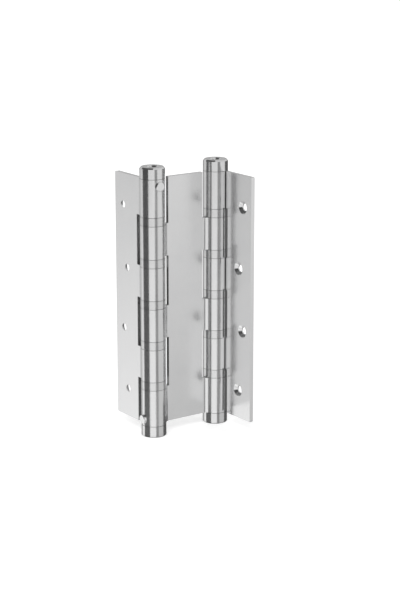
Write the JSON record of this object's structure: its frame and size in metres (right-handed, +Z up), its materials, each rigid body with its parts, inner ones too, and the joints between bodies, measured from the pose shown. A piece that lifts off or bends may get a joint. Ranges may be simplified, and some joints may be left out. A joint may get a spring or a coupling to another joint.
{
  "type": "double action spring hinge",
  "caption": "Double action cafe door hinge: two screw-on leaves joined by a middle plate, with a sprung barrel of rolled knuckles and bearing rings at each edge.",
  "frame": {"origin": "centre of the hinge, midway between the two barrel axes at half height", "axes": "+Z up along the barrels, towards the tension plugs; +X along the middle plate from the frame barrel to the door barrel; leaves square to the middle plate at rest"},
  "size_m": [0.0754, 0.0786, 0.1966],
  "materials": {
    "plate_steel": "satin",
    "cap_steel": "satin",
    "ring_steel": "satin",
    "pin_steel": "satin",
    "tube_steel": "plain turned",
    "spring_steel": "dark oiled"
  },
  "bodies": {
    "frame_side": {"frame_leaf": "plate_steel", "frame_tension_plug": "cap_steel", "frame_tension_pin": "pin_steel"},
    "middle": {"middle_plate": "plate_steel", "frame_anchor_plug": "cap_steel", "frame_anchor_pin": "pin_steel", "frame_spindle_tube": "tube_steel", "frame_torsion_spring": "spring_steel", "frame_ring_1": "ring_steel", "frame_ring_2": "ring_steel", "frame_ring_3": "ring_steel", "frame_ring_4": "ring_steel", "frame_ring_5": "ring_steel", "door_anchor_plug": "cap_steel", "door_anchor_pin": "pin_steel", "door_spindle_tube": "tube_steel", "door_torsion_spring": "spring_steel", "door_ring_1": "ring_steel", "door_ring_2": "ring_steel", "door_ring_3": "ring_steel", "door_ring_4": "ring_steel", "door_ring_5": "ring_steel"},
    "door_side": {"door_leaf": "plate_steel", "door_tension_plug": "cap_steel", "door_tension_pin": "pin_steel"}
  },
  "joints": [
    {"name": "frame_hinge", "type": "hinge", "parent": "frame_side", "child": "middle", "pos_m": [-0.02718, 0, 0], "axis": [0, 0, -1], "range_deg": [-90, 90], "stiffness_Nm_per_rad": 0.7, "springref_deg": -134.99, "deforming": ["frame_torsion_spring"]},
    {"name": "door_hinge", "type": "hinge", "parent": "middle", "child": "door_side", "pos_m": [0.02718, 0, 0], "axis": [0, 0, 1], "range_deg": [-90, 90], "stiffness_Nm_per_rad": 0.7, "springref_deg": -134.99, "deforming": ["door_torsion_spring"]}
  ]
}
